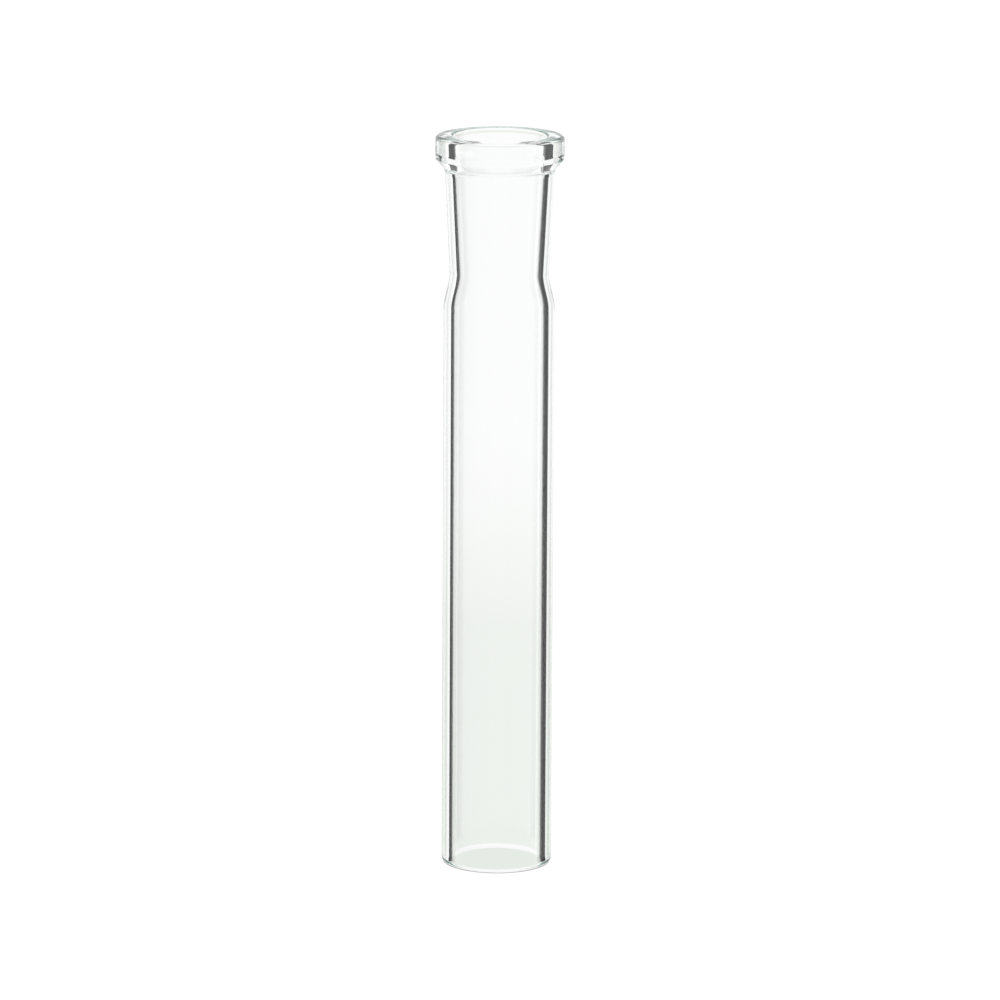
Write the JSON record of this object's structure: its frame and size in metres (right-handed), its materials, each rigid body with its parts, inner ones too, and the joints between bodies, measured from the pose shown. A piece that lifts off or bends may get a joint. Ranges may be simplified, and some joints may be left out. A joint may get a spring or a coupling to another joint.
{
  "type": "standard-taper glass socket tube",
  "caption": "Clear glass tube with a thick-rimmed 1:10 tapered socket at the top, a short shoulder below it and a plain open lower end.",
  "frame": {"origin": "centre of the tube's cut foot, on the plane it stands on", "axes": "+Z along the tube's axis, from the plain foot up to the socket's mouth; X and Y are any two radial directions, because the part is round"},
  "size_m": [0.0405, 0.0404, 0.234],
  "materials": {
    "clear_borosilicate": "clear drawn glass, fire-polished edges"
  },
  "bodies": {
    "root": {"rim_collar": "clear_borosilicate", "taper_socket": "clear_borosilicate", "shoulder": "clear_borosilicate", "shank_tube": "clear_borosilicate"}
  },
  "joints": []
}
